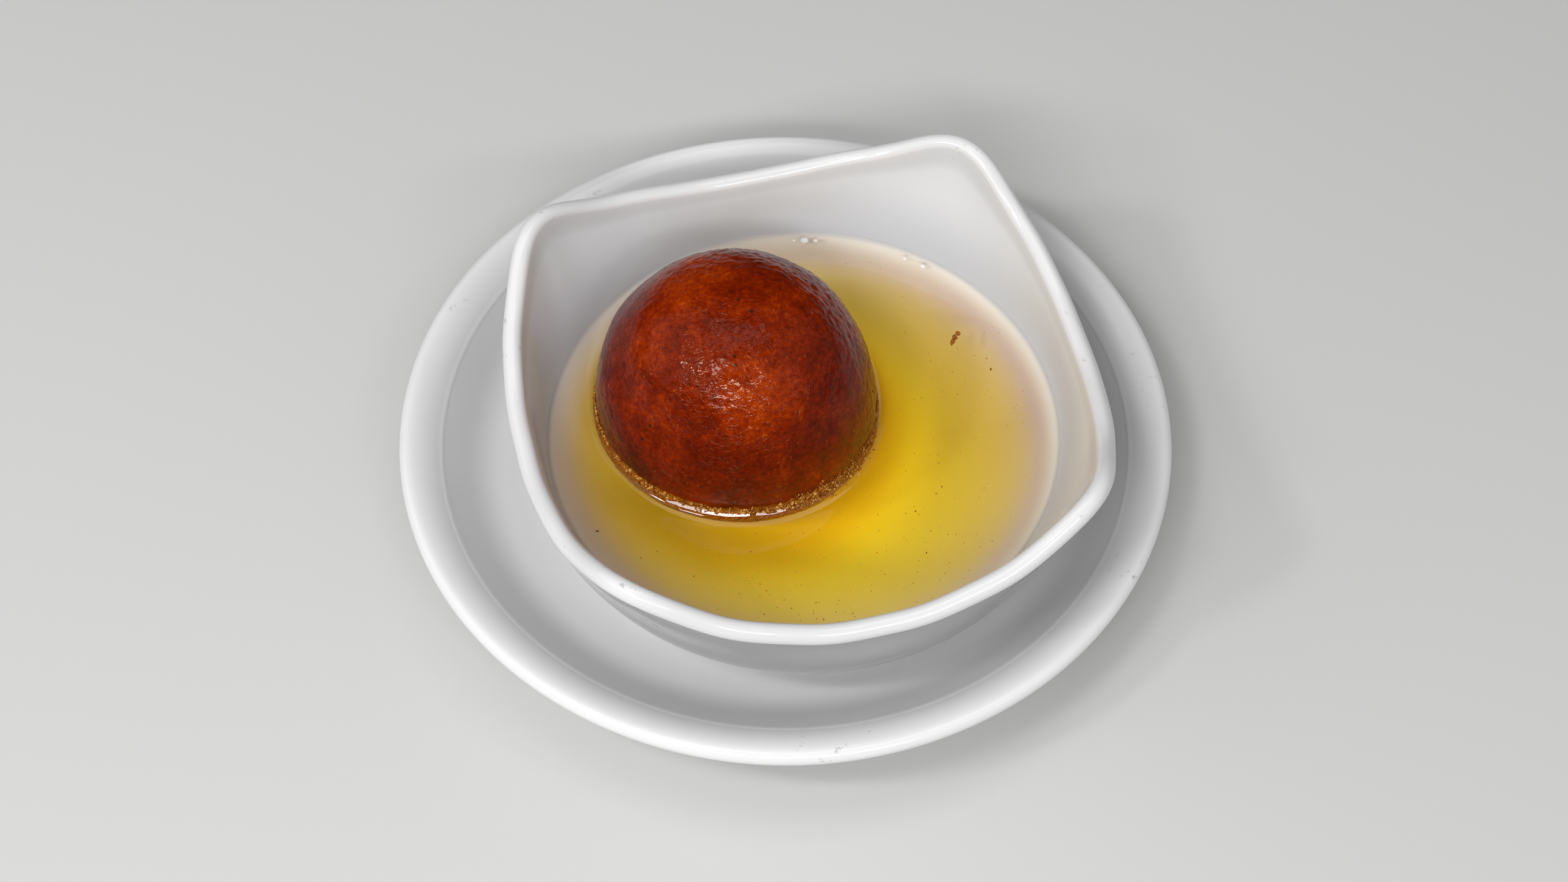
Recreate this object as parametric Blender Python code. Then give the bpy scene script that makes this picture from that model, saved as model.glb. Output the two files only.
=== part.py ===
"""Gulab jamun in a small four-cornered bowl of syrup, standing on a saucer.

Metres, +Z up.  Origin at the centre of the saucer's foot, on the surface it
stands on.  The bowl's and the ball's own axes are vertical and stand a little
off the saucer's axis.
"""
import bpy
import bmesh
import math
from mathutils import Vector

MM = 0.001
GAP = 0.30 * MM                 # clearance between pieces that touch

# ---- saucer: a turned dish ------------------------------------------------
SAUCER_SEG = 60
SAUCER_R = 75.0 * MM            # outer radius
SAUCER_H = 20.0 * MM            # height of the lip's crest
WELL_Z = 5.0 * MM               # top of the flat well
WELL_R = 41.0 * MM              # radius of the flat well
STEP_R = 66.5 * MM              # fine step between wall and lip
STEP_Z = 16.9 * MM              # height of the wall at that step
STEP_H = 0.25 * MM              # rise of the step
WALL_SLOPE = 0.74               # slope of the wall where it meets the step
LIP_CREST_R = 73.3 * MM
FOOT_OUT_R = 41.0 * MM
FOOT_IN_R = 37.0 * MM
SAUCER_BASE = 1.8 * MM          # underside inside the foot ring

# ---- bowl: round below, four raised soft corners above --------------------
BOWL_SEG = 72
BOWL_AT = Vector((3.48 * MM, -6.53 * MM, 0.0))
BOWL_TURN = math.radians(14.3)
BOWL_FOOT_Z = WELL_Z + GAP      # underside of the foot ring
BOWL_BASE_Z = 7.0 * MM          # underside inside the foot ring
BOWL_FLOOR_Z = 10.0 * MM        # inside floor
FOOT_RING_OUT = 32.0 * MM
FOOT_RING_IN = 28.5 * MM
BODY_Z = 9.0 * MM               # where the body leaves the foot
BLEND_Z = 26.7 * MM             # the bowl is round up to here
LIP_R = 1.9 * MM                # radius of the rolled lip
RIM_MEAN = 56.03 * MM           # lip centre line: mean radius ...
RIM_WAVES = (-3.07 * MM, 0.57 * MM, -0.25 * MM, 0.12 * MM, -0.09 * MM)  # ... its four corners
RIM_Z_MEAN = 42.19 * MM         # lip centre line: mean height ...
RIM_Z_WAVES = (-4.79 * MM, 1.25 * MM, -0.57 * MM, 0.26 * MM)  # ... higher at the corners
SIDE_RIM_R = RIM_MEAN + sum(RIM_WAVES)
SIDE_RIM_Z = RIM_Z_MEAN + sum(RIM_Z_WAVES)
FULLNESS = 2.2                  # exponent of the body's curve
INNER_FLAT_R = 16.0 * MM        # radius of the flat part of the inside floor

# ---- syrup and ball -------------------------------------------------------
SYRUP_Z = BLEND_Z
BALL_SEG = 36
BALL_AT = Vector((-9.55 * MM, -0.7 * MM, 26.3 * MM))
BALL_TURN = -0.5
BALL_A = 27.2 * MM              # half length
BALL_B = 26.0 * MM              # half width
BALL_UP = 31.5 * MM             # height above its widest ring
BALL_FULL = 2.25                # exponent of the dome: 2 is a plain ellipse
BALL_DOWN = 14.9 * MM           # depth below it: it has settled flat
BALL_GAP = 0.35 * MM            # clearance of the syrup's hollow
FILM = 1.1 * MM                 # least depth of syrup under the ball


def clear_scene():
    for ob in list(bpy.data.objects):
        bpy.data.objects.remove(ob, do_unlink=True)


def material(name, colour, roughness):
    mat = bpy.data.materials.new(name)
    mat.use_nodes = True
    bsdf = mat.node_tree.nodes["Principled BSDF"]
    bsdf.inputs["Base Color"].default_value = (*colour, 1.0)
    bsdf.inputs["Roughness"].default_value = roughness
    bsdf.inputs["Metallic"].default_value = 0.0
    return mat


def loft(name, first_pole, rings, last_pole, mat):
    """Close a stack of equal rings with a pole at each end."""
    bm = bmesh.new()
    a = bm.verts.new(first_pole)
    stack = [[bm.verts.new(p) for p in ring] for ring in rings]
    b = bm.verts.new(last_pole)
    n = len(stack[0])
    for i in range(n):
        bm.faces.new((a, stack[0][(i + 1) % n], stack[0][i]))
        bm.faces.new((b, stack[-1][i], stack[-1][(i + 1) % n]))
    for low, high in zip(stack, stack[1:]):
        for i in range(n):
            j = (i + 1) % n
            bm.faces.new((low[i], low[j], high[j], high[i]))
    bmesh.ops.recalc_face_normals(bm, faces=bm.faces)
    if bm.calc_volume(signed=True) < 0.0:
        bmesh.ops.reverse_faces(bm, faces=bm.faces)
    bmesh.ops.triangulate(bm, faces=bm.faces)
    mesh = bpy.data.meshes.new(name)
    bm.to_mesh(mesh)
    bm.free()
    mesh.materials.append(mat)
    mesh.shade_smooth()
    mesh.set_sharp_from_angle(angle=math.radians(40.0))
    ob = bpy.data.objects.new(name, mesh)
    bpy.context.scene.collection.objects.link(ob)
    return ob


def circle(r, z, seg, at=(0.0, 0.0)):
    return [(at[0] + r * math.cos(2 * math.pi * i / seg),
             at[1] + r * math.sin(2 * math.pi * i / seg), z) for i in range(seg)]


def hermite(p0, m0, p1, m1, s):
    return ((2 * s ** 3 - 3 * s ** 2 + 1) * p0 + (s ** 3 - 2 * s ** 2 + s) * m0
            + (3 * s ** 2 - 2 * s ** 3) * p1 + (s ** 3 - s ** 2) * m1)


# ---------------------------------------------------------------- saucer
def saucer_wall(r):
    s = (r - WELL_R) / (STEP_R - WELL_R)
    return hermite(WELL_Z, 0.0, STEP_Z, WALL_SLOPE * (STEP_R - WELL_R), s)


def saucer_profile():
    pts = [(20 * MM, WELL_Z), (WELL_R, WELL_Z)]
    for k in range(1, 6):
        r = WELL_R + (STEP_R - WELL_R) * k / 5
        pts.append((r, saucer_wall(r)))
    pts.append((STEP_R + 0.35 * MM, STEP_Z + STEP_H))
    pts.append((LIP_CREST_R - 2.2 * MM, SAUCER_H - 0.62 * MM))
    pts.append((LIP_CREST_R, SAUCER_H))
    turn = SAUCER_R - LIP_CREST_R            # radius of the rounded edge
    for deg in (50, 0, -50):
        a = math.radians(deg)
        pts.append((LIP_CREST_R + turn * math.cos(a), SAUCER_H - turn + turn * math.sin(a)))
    pts.append((LIP_CREST_R - 1.2 * MM, SAUCER_H - 4.1 * MM))
    pts.append((62.0 * MM, 10.2 * MM))
    pts.append((50.0 * MM, 4.1 * MM))
    pts.append((FOOT_OUT_R + 2.2 * MM, 2.6 * MM))
    pts.append((FOOT_OUT_R, 0.6 * MM))
    pts.append((FOOT_OUT_R - 0.6 * MM, 0.0))
    pts.append((FOOT_IN_R + 0.6 * MM, 0.0))
    pts.append((FOOT_IN_R, 0.6 * MM))
    pts.append((FOOT_IN_R - 0.8 * MM, SAUCER_BASE))
    return pts


def build_saucer():
    rings = [circle(r, z, SAUCER_SEG) for r, z in saucer_profile()]
    return loft("saucer", (0, 0, WELL_Z), rings, (0, 0, SAUCER_BASE),
                material("saucer", (0.80, 0.80, 0.79), 0.12))


# ------------------------------------------------------------------ bowl
def rim_radius(t):
    return RIM_MEAN + sum(a * math.cos(4 * (k + 1) * t) for k, a in enumerate(RIM_WAVES))


def rim_height(t):
    return RIM_Z_MEAN + sum(a * math.cos(4 * (k + 1) * t) for k, a in enumerate(RIM_Z_WAVES))


def body_curve(z, flat, reach, top, bottom):
    """Radius and slope dr/dz of the body's round lower part at height z."""
    v = min(max((top - z) / (top - bottom), 0.0), 1.0)
    u = (1.0 - v ** FULLNESS) ** (1.0 / FULLNESS) if v < 1.0 else 0.0
    r = flat + (reach - flat) * u
    slope = 0.0
    if 0.0 < v < 1.0 and u > 0.0:
        slope = (reach - flat) / (top - bottom) * (v / u) ** (FULLNESS - 1.0)
    return r, slope


def inner_round(z):
    return body_curve(z, INNER_FLAT_R, SIDE_RIM_R - LIP_R, SIDE_RIM_Z, BOWL_FLOOR_Z)


def outer_round(z):
    return body_curve(z, FOOT_RING_OUT, SIDE_RIM_R + 1.0 * MM, SIDE_RIM_Z - 1.6 * MM, BODY_Z)


def wall_point(t, s, r0, m0, z0, r1, z1, m1):
    """Point at share s of the way from the round part up to the rim."""
    dz = z1 - z0
    r = hermite(r0, m0 * dz, r1, m1 * dz, s)
    return r * math.cos(t), r * math.sin(t), z0 + dz * s


def build_bowl():
    ts = [2 * math.pi * i / BOWL_SEG for i in range(BOWL_SEG)]
    rings = [circle(INNER_FLAT_R, BOWL_FLOOR_Z, BOWL_SEG)]
    for z in inner_levels():
        rings.append(circle(inner_round(z)[0], z, BOWL_SEG))
    r0, m0 = inner_round(BLEND_Z)
    for s in (0.34, 0.67, 1.0):
        rings.append([wall_point(t, s, r0, m0, BLEND_Z, rim_radius(t) - LIP_R,
                                 rim_height(t), 0.30) for t in ts])
    for deg in (140, 100, 60, 20, -20, -57):
        a = math.radians(deg)
        rings.append([((rim_radius(t) + LIP_R * math.cos(a)) * math.cos(t),
                       (rim_radius(t) + LIP_R * math.cos(a)) * math.sin(t),
                       rim_height(t) + LIP_R * math.sin(a)) for t in ts])
    r0, m0 = outer_round(BLEND_Z)
    for s in (1.0, 0.5, 0.0):
        rings.append([wall_point(t, s, r0, m0, BLEND_Z, rim_radius(t) + 0.7 * MM,
                                 rim_height(t) - 1.9 * MM, 0.22) for t in ts])
    top = SIDE_RIM_Z - 1.6 * MM
    for k in (1, 2, 3, 4):
        v = math.sin(math.radians(22 + 15.5 * k))
        z = top - (top - BODY_Z) * v
        rings.append(circle(outer_round(z)[0], z, BOWL_SEG))
    rings.append(circle(FOOT_RING_OUT + 0.4 * MM, BODY_Z - 0.1 * MM, BOWL_SEG))
    rings.append(circle(FOOT_RING_OUT - 0.2 * MM, BOWL_FOOT_Z + 0.6 * MM, BOWL_SEG))
    rings.append(circle(FOOT_RING_OUT - 0.8 * MM, BOWL_FOOT_Z, BOWL_SEG))
    rings.append(circle(FOOT_RING_IN + 0.6 * MM, BOWL_FOOT_Z, BOWL_SEG))
    rings.append(circle(FOOT_RING_IN - 0.4 * MM, BOWL_BASE_Z, BOWL_SEG))
    ob = loft("bowl", (0, 0, BOWL_FLOOR_Z), rings, (0, 0, BOWL_BASE_Z),
              material("bowl", (0.82, 0.82, 0.81), 0.10))
    ob.location = BOWL_AT
    ob.rotation_euler = (0.0, 0.0, BOWL_TURN)
    return ob


def inner_levels():
    """Heights of the bowl's inside rings from the floor up to the syrup."""
    out = []
    for k in (1, 2, 3, 4, 5):
        v = math.cos(math.radians(14.0 * k))
        out.append(SIDE_RIM_Z - (SIDE_RIM_Z - BOWL_FLOOR_Z) * v)
    out = [z for z in out if z < BLEND_Z - 1.0 * MM]
    out.append(BLEND_Z)
    return out


# ------------------------------------------------------------------ ball
def swell(direction):
    """Slow unevenness of the ball's dome, as a share of its radius."""
    x, y, z = direction
    up = min(max(z * 2.2 - 0.25, 0.0), 1.0)
    bump = (0.55 * math.sin(3.1 * x + 1.7 * y + 0.6) + 0.45 * math.cos(4.3 * y - 2.1 * z + 1.1)
            + 0.30 * math.sin(5.2 * x - 3.0 * y + 2.4 * z))
    return 1.0 + 0.010 * up * bump


def build_ball():
    rings = []
    rows = 9
    for k in range(1, 2 * rows):
        lat = math.pi / 2 - math.pi / 2 * k / rows
        ring = []
        for i in range(BALL_SEG):
            lon = 2 * math.pi * i / BALL_SEG
            d = (math.cos(lat) * math.cos(lon), math.cos(lat) * math.sin(lon), math.sin(lat))
            f = swell(d)
            wide, tall = math.cos(lat), BALL_DOWN * d[2]
            if lat > 0.0:
                wide = wide ** (2.0 / BALL_FULL)
                tall = BALL_UP * math.sin(lat) ** (2.0 / BALL_FULL)
            ring.append((BALL_A * wide * math.cos(lon) * f,
                         BALL_B * wide * math.sin(lon) * f, tall * f))
        rings.append(ring)
    ob = loft("gulab_jamun", (0, 0, BALL_UP * swell((0, 0, 1))), rings, (0, 0, -BALL_DOWN),
              material("gulab_jamun", (0.20, 0.035, 0.008), 0.30))
    ob.location = BALL_AT
    ob.rotation_euler = (0.0, 0.0, BALL_TURN)
    return ob


# ----------------------------------------------------------------- syrup
def build_syrup():
    """Fills the bowl up to its level, hollowed where the ball stands in it."""
    seg = BOWL_SEG
    floor = BOWL_FLOOR_Z + GAP
    rings = [circle(INNER_FLAT_R, floor, seg)]
    for z in inner_levels():
        if z < SYRUP_Z - 1e-6:
            rings.append(circle(inner_round(z)[0] - GAP * 0.8, z + GAP * 0.6, seg))
    rings.append(circle(inner_round(SYRUP_Z)[0] - GAP, SYRUP_Z, seg))
    # the hollow, in the bowl's frame
    offset = (BALL_AT - BOWL_AT)
    c, s = math.cos(-BOWL_TURN), math.sin(-BOWL_TURN)
    ox, oy = offset.x * c - offset.y * s, offset.x * s + offset.y * c
    turn = BALL_TURN - BOWL_TURN
    a, b, down = BALL_A + BALL_GAP, BALL_B + BALL_GAP, BALL_DOWN + BALL_GAP
    start = math.asin(min(max((BALL_AT.z - SYRUP_Z) / down, -1.0), 1.0))
    cols = 7
    for k in range(cols):
        lat = start + (math.pi / 2 - start) * k / cols
        ring = []
        for i in range(seg):
            lon = 2 * math.pi * i / seg - turn
            x, y = a * math.cos(lat) * math.cos(lon), b * math.cos(lat) * math.sin(lon)
            ring.append((ox + x * math.cos(turn) - y * math.sin(turn),
                         oy + x * math.sin(turn) + y * math.cos(turn),
                         BALL_AT.z - down * math.sin(lat) if k else SYRUP_Z))
        rings.append(ring)
    ob = loft("syrup", (0, 0, floor), rings, (ox, oy, BALL_AT.z - down),
              material("syrup", (0.62, 0.36, 0.03), 0.05))
    ob.location = BOWL_AT
    ob.rotation_euler = (0.0, 0.0, BOWL_TURN)
    return ob


def main():
    clear_scene()
    build_saucer()
    build_bowl()
    build_syrup()
    build_ball()


main()
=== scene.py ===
"""A gulab jamun standing in golden syrup in a four-cornered bowl, on its saucer.

Metres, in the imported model's frame: +Z up, origin under the saucer's foot.
Every dish surface is swept from the same named sizes as the CAD, at full detail.
"""
import bpy
import math
import numpy as np
from mathutils import Matrix, Vector


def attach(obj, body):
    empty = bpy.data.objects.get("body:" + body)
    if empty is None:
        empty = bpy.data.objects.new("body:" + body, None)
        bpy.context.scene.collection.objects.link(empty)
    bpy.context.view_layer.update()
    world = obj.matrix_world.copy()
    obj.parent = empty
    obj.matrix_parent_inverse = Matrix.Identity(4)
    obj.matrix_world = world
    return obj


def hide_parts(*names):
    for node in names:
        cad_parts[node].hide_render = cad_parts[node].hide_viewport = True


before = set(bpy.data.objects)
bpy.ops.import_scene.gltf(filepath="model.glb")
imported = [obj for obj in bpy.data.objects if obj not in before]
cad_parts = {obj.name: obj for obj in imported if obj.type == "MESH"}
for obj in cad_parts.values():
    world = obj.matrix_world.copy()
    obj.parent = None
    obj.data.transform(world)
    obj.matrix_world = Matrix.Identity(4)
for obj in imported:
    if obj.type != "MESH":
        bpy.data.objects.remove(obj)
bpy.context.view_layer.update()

MM = 0.001

# ---------------------------------------------------------------- sizes (mm)
SAUCER_R, SAUCER_H = 75.0, 20.0
WELL_Z, WELL_R = 5.0, 41.0
STEP_R, STEP_Z, STEP_H = 66.5, 16.9, 0.25
WALL_SLOPE = 0.74
LIP_CREST_R = 73.3
FOOT_OUT_R, FOOT_IN_R, SAUCER_BASE = 41.0, 37.0, 1.8

BOWL_AT = (3.48, -6.53)
BOWL_TURN = math.radians(14.3)
BOWL_FOOT_Z, BOWL_BASE_Z, BOWL_FLOOR_Z = 5.3, 7.0, 10.0
FOOT_RING_OUT, FOOT_RING_IN = 32.0, 28.5
BODY_Z, BLEND_Z = 9.0, 26.7
LIP_R = 1.9
RIM_MEAN, RIM_WAVES = 56.03, (-3.07, 0.57, -0.25, 0.12, -0.09)
RIM_Z_MEAN, RIM_Z_WAVES = 42.19, (-4.79, 1.25, -0.57, 0.26)
SIDE_RIM_R = RIM_MEAN + sum(RIM_WAVES)
SIDE_RIM_Z = RIM_Z_MEAN + sum(RIM_Z_WAVES)
FULLNESS, INNER_FLAT_R = 2.2, 16.0

BALL_AT = (-9.55, -0.7, 26.3)
BALL_TURN = -0.5
BALL_A, BALL_B = 27.2, 26.0
BALL_UP, BALL_FULL, BALL_DOWN = 31.5, 2.25, 14.9

LEVEL_Z = 26.35                 # flat level of the syrup
WALL_RISE, WALL_REACH = 0.28, 1.1      # meniscus on the bowl
BALL_RISE, BALL_REACH = 1.48, 1.0      # meniscus on the ball
BALL_FLANK = 0.7                       # its straight part next to the ball


# ------------------------------------------------------------------- noise
_rng = np.random.default_rng(11)
_PERM = _rng.permutation(256)
_PERM = np.concatenate([_PERM, _PERM, _PERM])
_GRAD = _rng.normal(size=(256, 3))
_GRAD /= np.linalg.norm(_GRAD, axis=1)[:, None]


def gradient_noise(p):
    """Smooth noise of about -0.7 to 0.7 at the points p, one cycle per unit."""
    cell = np.floor(p).astype(np.int64)
    f = p - cell
    cell &= 255
    u = f * f * f * (f * (f * 6.0 - 15.0) + 10.0)
    out = np.zeros(len(p))
    for dx in (0, 1):
        for dy in (0, 1):
            for dz in (0, 1):
                h = _PERM[_PERM[_PERM[(cell[:, 0] + dx) & 255] + ((cell[:, 1] + dy) & 255)]
                          + ((cell[:, 2] + dz) & 255)]
                w = ((u[:, 0] if dx else 1 - u[:, 0]) * (u[:, 1] if dy else 1 - u[:, 1])
                     * (u[:, 2] if dz else 1 - u[:, 2]))
                out += w * ((f - np.array((dx, dy, dz))) * _GRAD[h]).sum(1)
    return out


def smoothstep(lo, hi, x):
    t = np.clip((x - lo) / (hi - lo), 0.0, 1.0)
    return t * t * (3.0 - 2.0 * t)


# ------------------------------------------------------------ mesh helpers
def make_object(name, verts_mm, faces, mat, smooth=True, attrs=None):
    mesh = bpy.data.meshes.new(name)
    v = np.asarray(verts_mm, float) * MM
    faces = [tuple(int(i) for i in f) for f in faces]
    mesh.from_pydata([tuple(p) for p in v], [], faces)
    for key, values in (attrs or {}).items():
        layer = mesh.attributes.new(key, "FLOAT", "POINT")
        layer.data.foreach_set("value", np.asarray(values, np.float32))
    mesh.validate()
    mesh.update()
    if smooth:
        mesh.shade_smooth()
    mesh.materials.append(mat)
    ob = bpy.data.objects.new(name, mesh)
    bpy.context.scene.collection.objects.link(ob)
    return ob


def ring_faces(rows, n, start=0, flip=False):
    """Quads between rows of n points each, closed round."""
    out = []
    for r in range(rows - 1):
        a = start + r * n
        for i in range(n):
            j = (i + 1) % n
            q = (a + i, a + j, a + n + j, a + n + i)
            out.append(q[::-1] if flip else q)
    return out


def loft(name, first_pole, rings, last_pole, mat, attrs=None):
    """Close a stack of equal rings with a pole at each end, outward."""
    n = len(rings[0])
    verts = np.vstack([np.asarray(first_pole)[None, :]] + [np.asarray(r) for r in rings]
                      + [np.asarray(last_pole)[None, :]])
    last = len(verts) - 1
    faces = []
    for i in range(n):
        j = (i + 1) % n
        faces.append((0, 1 + i, 1 + j))
        faces.append((last, last - n + j, last - n + i))
    faces += ring_faces(len(rings), n, start=1, flip=True)
    ob = make_object(name, verts, faces, mat, attrs=attrs)
    # signed volume decides the side the faces look to
    p = verts
    vol = 0.0
    for f in faces:
        for k in range(1, len(f) - 1):
            a, b, c = p[f[0]], p[f[k]], p[f[k + 1]]
            vol += (a[0] * (b[1] * c[2] - b[2] * c[1]) + a[1] * (b[2] * c[0] - b[0] * c[2])
                    + a[2] * (b[0] * c[1] - b[1] * c[0]))
    if vol < 0.0:
        ob.data.flip_normals()
    return ob


def crisp(ob, degrees=35.0):
    ob.data.set_sharp_from_angle(angle=math.radians(degrees))
    return ob


def place(ob, at_mm, turn):
    """Turn about Z and move, into the mesh, so the object stays at the origin."""
    m = Matrix.Translation((at_mm[0] * MM, at_mm[1] * MM, (at_mm[2] if len(at_mm) > 2 else 0.0) * MM))
    ob.data.transform(m @ Matrix.Rotation(turn, 4, "Z"))
    return ob


def hermite(p0, m0, p1, m1, s):
    return ((2 * s ** 3 - 3 * s ** 2 + 1) * p0 + (s ** 3 - 2 * s ** 2 + s) * m0
            + (3 * s ** 2 - 2 * s ** 3) * p1 + (s ** 3 - s ** 2) * m1)


def round_corners(pts, radii, steps=5):
    """Round the corners of an (r, z) polyline: one radius per inner point."""
    out = [np.array(pts[0], float)]
    for k in range(1, len(pts) - 1):
        p, a, b = (np.array(pts[k], float), np.array(pts[k - 1], float), np.array(pts[k + 1], float))
        rad = radii[k]
        if rad <= 0.0:
            out.append(p)
            continue
        ua, ub = (a - p) / np.linalg.norm(a - p), (b - p) / np.linalg.norm(b - p)
        cut = min(rad, 0.48 * np.linalg.norm(a - p), 0.48 * np.linalg.norm(b - p))
        p0, p1 = p + ua * cut, p + ub * cut
        for s in np.linspace(0.0, 1.0, steps + 1):
            out.append((1 - s) ** 2 * p0 + 2 * s * (1 - s) * p + s ** 2 * p1)
    out.append(np.array(pts[-1], float))
    return out


# --------------------------------------------------------------- materials
def new_material(name):
    mat = bpy.data.materials.new(name)
    mat.use_nodes = True
    nt = mat.node_tree
    bsdf = nt.nodes["Principled BSDF"]
    return mat, nt, bsdf


def node(nt, kind, **inputs):
    n = nt.nodes.new(kind)
    for key, value in inputs.items():
        n.inputs[key.replace("_", " ")].default_value = value
    return n


def coords(nt):
    return nt.nodes.new("ShaderNodeTexCoord").outputs["Object"]


def stretch(nt, source, scale):
    m = nt.nodes.new("ShaderNodeMapping")
    m.inputs["Scale"].default_value = scale
    nt.links.new(source, m.inputs["Vector"])
    return m.outputs["Vector"]


def noise_tex(nt, source, scale, detail=2.0, rough=0.5, distortion=0.0):
    n = node(nt, "ShaderNodeTexNoise", Scale=scale, Detail=detail, Roughness=rough,
             Distortion=distortion)
    nt.links.new(source, n.inputs["Vector"])
    return n.outputs["Fac"]


def ramp(nt, source, stops, mode="LINEAR"):
    r = nt.nodes.new("ShaderNodeValToRGB")
    r.color_ramp.interpolation = mode
    els = r.color_ramp.elements
    while len(els) < len(stops):
        els.new(0.5)
    for e, (pos, col) in zip(els, stops):
        e.position = pos
        e.color = (*col, 1.0) if len(col) == 3 else col
    nt.links.new(source, r.inputs["Fac"])
    return r.outputs["Color"]


def remap(nt, source, lo, hi, to_lo=0.0, to_hi=1.0, smooth=True):
    m = nt.nodes.new("ShaderNodeMapRange")
    m.interpolation_type = "SMOOTHSTEP" if smooth else "LINEAR"
    m.clamp = True
    for key, v in (("From Min", lo), ("From Max", hi), ("To Min", to_lo), ("To Max", to_hi)):
        m.inputs[key].default_value = v
    nt.links.new(source, m.inputs["Value"])
    return m.outputs["Result"]


def math_node(nt, op, a, b=None, clamp=False):
    m = nt.nodes.new("ShaderNodeMath")
    m.operation = op
    m.use_clamp = clamp
    for k, v in enumerate((a, b)):
        if v is None:
            continue
        if isinstance(v, (int, float)):
            m.inputs[k].default_value = v
        else:
            nt.links.new(v, m.inputs[k])
    return m.outputs[0]


def mix_colour(nt, fac, a, b, mode="MIX"):
    m = nt.nodes.new("ShaderNodeMix")
    m.data_type = "RGBA"
    m.blend_type = mode
    for key, v in ((0, fac), (6, a), (7, b)):
        if isinstance(v, (int, float)):
            m.inputs[key].default_value = v
        elif isinstance(v, tuple):
            m.inputs[key].default_value = (*v, 1.0) if len(v) == 3 else v
        else:
            nt.links.new(v, m.inputs[key])
    return m.outputs[2]


def attribute(nt, name):
    a = nt.nodes.new("ShaderNodeAttribute")
    a.attribute_name = name
    return a.outputs["Fac"]


def bump(nt, height, distance, strength=1.0, normal=None):
    b = node(nt, "ShaderNodeBump", Strength=strength, Distance=distance)
    nt.links.new(height, b.inputs["Height"])
    if normal is not None:
        nt.links.new(normal, b.inputs["Normal"])
    return b.outputs["Normal"]


# painted shade on the bowl's inside: darker and bluer by the syrup, lighter near the rim
INSIDE_PAINTED_SHADE_LOW, INSIDE_PAINTED_SHADE_HIGH = (0.55, 0.575, 0.61), (0.745, 0.765, 0.785)
# painted syrup tint over the glaze, by share of its full depth: gold and shade painted on, standing in for the
# light the syrup takes out
PAINTED_SYRUP_TINT = [(0.0, (0.76, 0.75, 0.75)), (0.12, (0.85, 0.83, 0.84)), (0.35, (0.89, 0.815, 0.87)),
        (0.60, (0.95, 0.845, 0.44)), (1.0, (1.0, 0.885, 0.055))]


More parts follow.
